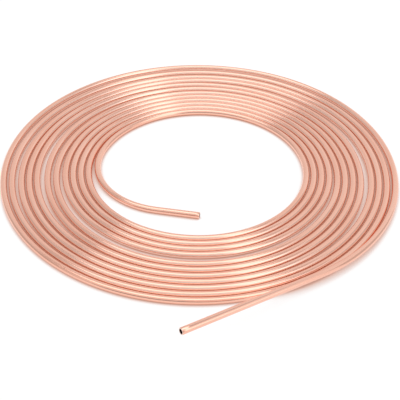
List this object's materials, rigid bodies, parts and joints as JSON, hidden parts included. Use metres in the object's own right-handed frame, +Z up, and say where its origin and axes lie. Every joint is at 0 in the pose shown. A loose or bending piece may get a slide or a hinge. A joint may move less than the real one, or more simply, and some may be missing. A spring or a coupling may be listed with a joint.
{
  "type": "copper tube coil",
  "caption": "Flat single-layer spiral coil of thin copper line tube, with both ends cut square and left free.",
  "frame": {"origin": "middle of the coil's plan, at the level it lies on", "axes": "+Z up, square to the flat coil; the winding starts on -X and goes clockwise seen from above"},
  "size_m": [0.298, 0.334, 0.0171],
  "materials": {
    "copper": null
  },
  "bodies": {
    "root": {"copper_tube": "copper"}
  },
  "joints": []
}
